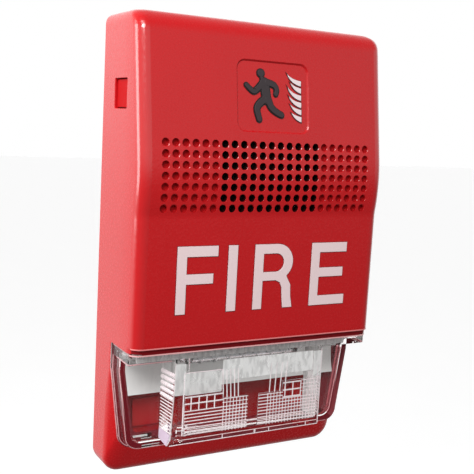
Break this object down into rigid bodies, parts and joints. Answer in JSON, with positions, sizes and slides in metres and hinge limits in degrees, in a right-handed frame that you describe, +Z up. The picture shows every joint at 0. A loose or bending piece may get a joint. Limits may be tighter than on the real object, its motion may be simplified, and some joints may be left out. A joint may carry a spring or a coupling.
{
  "type": "horn strobe",
  "caption": "Wall-mounted red fire alarm horn strobe: clip-on head with sounder grille and clear prism strobe lens over a wall plate with screw terminals.",
  "frame": {"origin": "centre of the wall plate's back, on the wall, midway between the two box-screw holes", "axes": "+X to the right seen from the front, +Y into the wall, +Z up"},
  "size_m": [0.07, 0.0256, 0.116],
  "materials": {
    "plate_plastic": "moulded, satin",
    "terminal_plastic": "moulded, matt",
    "terminal_brass": "stamped",
    "screw_steel": "zinc plated",
    "contact_brass": "rolled strip",
    "red_shell": "fine-textured satin",
    "red_button": "fine-textured satin",
    "letter_white": "printed",
    "figure_grey": "printed",
    "flame_white": "printed",
    "lens_clear": "clear, moulded prisms",
    "reflector_metal": "bright white",
    "tube_glass": "clear",
    "electrode_metal": "bright wire",
    "trigger_metal": "fine wire",
    "board_green": "solder mask",
    "capacitor_sleeve": "shrink sleeve",
    "transformer_tape": "taped winding",
    "ferrite_black": "sintered",
    "chip_black": "moulded epoxy",
    "diode_black": "moulded epoxy",
    "resistor_white": "fired",
    "sounder_plastic": "moulded",
    "sounder_brass": "thin disc",
    "sounder_ceramic_white": "silvered",
    "lead_red": "insulated wire",
    "mesh_black": "woven",
    "pad_gold": "plated",
    "switch_black": "moulded",
    "switch_blue": "moulded",
    "lever_white": "moulded"
  },
  "bodies": {
    "wall_plate": {"mounting_plate": "plate_plastic", "terminal_block": "terminal_plastic", "terminal_clamps": "terminal_brass", "terminal_screws": "screw_steel", "contact_springs": "contact_brass"},
    "snap_arm_left": {"latch_arm_left": "plate_plastic"},
    "snap_arm_right": {"latch_arm_right": "plate_plastic"},
    "head": {"front_cover": "red_shell", "fire_letters": "letter_white", "icon_figure": "figure_grey", "icon_bars": "flame_white", "lens": "lens_clear", "reflector": "reflector_metal", "flash_tube": "tube_glass", "tube_electrodes": "electrode_metal", "trigger_wire": "trigger_metal", "circuit_board": "board_green", "flash_capacitor": "capacitor_sleeve", "trigger_transformer": "transformer_tape", "power_inductor": "ferrite_black", "controller_chips": "chip_black", "power_transistors": "chip_black", "rectifier_diodes": "diode_black", "chip_resistors": "resistor_white", "sounder_cup": "sounder_plastic", "sounder_disc": "sounder_brass", "sounder_ceramic": "sounder_ceramic_white", "sounder_leads": "lead_red", "grille_mesh": "mesh_black", "board_screws": "screw_steel", "contact_pads": "pad_gold", "candela_switch": "switch_black", "option_switch": "switch_blue"},
    "release_left": {"release_button_left": "red_button"},
    "release_right": {"release_button_right": "red_button"},
    "candela_selector": {"candela_slider": "lever_white"},
    "volume_selector": {"volume_lever": "lever_white"},
    "tone_selector": {"tone_lever": "lever_white"}
  },
  "joints": [
    {"name": "head_release", "type": "slide", "parent": "wall_plate", "child": "head", "axis": [0, -1, 0], "range_m": [0, 0.035]},
    {"name": "release_left_press", "type": "slide", "parent": "head", "child": "release_left", "axis": [1, 0, 0], "range_m": [0, 0.0012], "stiffness_N_per_m": 300},
    {"name": "release_right_press", "type": "slide", "parent": "head", "child": "release_right", "axis": [-1, 0, 0], "range_m": [0, 0.0012], "stiffness_N_per_m": 300},
    {"name": "latch_left", "type": "hinge", "parent": "wall_plate", "child": "snap_arm_left", "pos_m": [-0.0309, -0.0027, 0.0386], "axis": [0, 0, 1], "range_deg": [0, 9.5]},
    {"name": "latch_right", "type": "hinge", "parent": "wall_plate", "child": "snap_arm_right", "pos_m": [0.0309, -0.0027, 0.0386], "axis": [0, 0, -1], "range_deg": [0, 9.5]},
    {"name": "candela_select", "type": "slide", "parent": "head", "child": "candela_selector", "axis": [1, 0, 0], "range_m": [0, 0.006]},
    {"name": "volume_select", "type": "slide", "parent": "head", "child": "volume_selector", "axis": [1, 0, 0], "range_m": [0, 0.002]},
    {"name": "tone_select", "type": "slide", "parent": "head", "child": "tone_selector", "axis": [1, 0, 0], "range_m": [0, 0.002]}
  ],
  "couplings": [
    {"joint": "latch_left", "follows": "release_left_press", "rad_per_m": 138},
    {"joint": "latch_right", "follows": "release_right_press", "rad_per_m": 138}
  ]
}
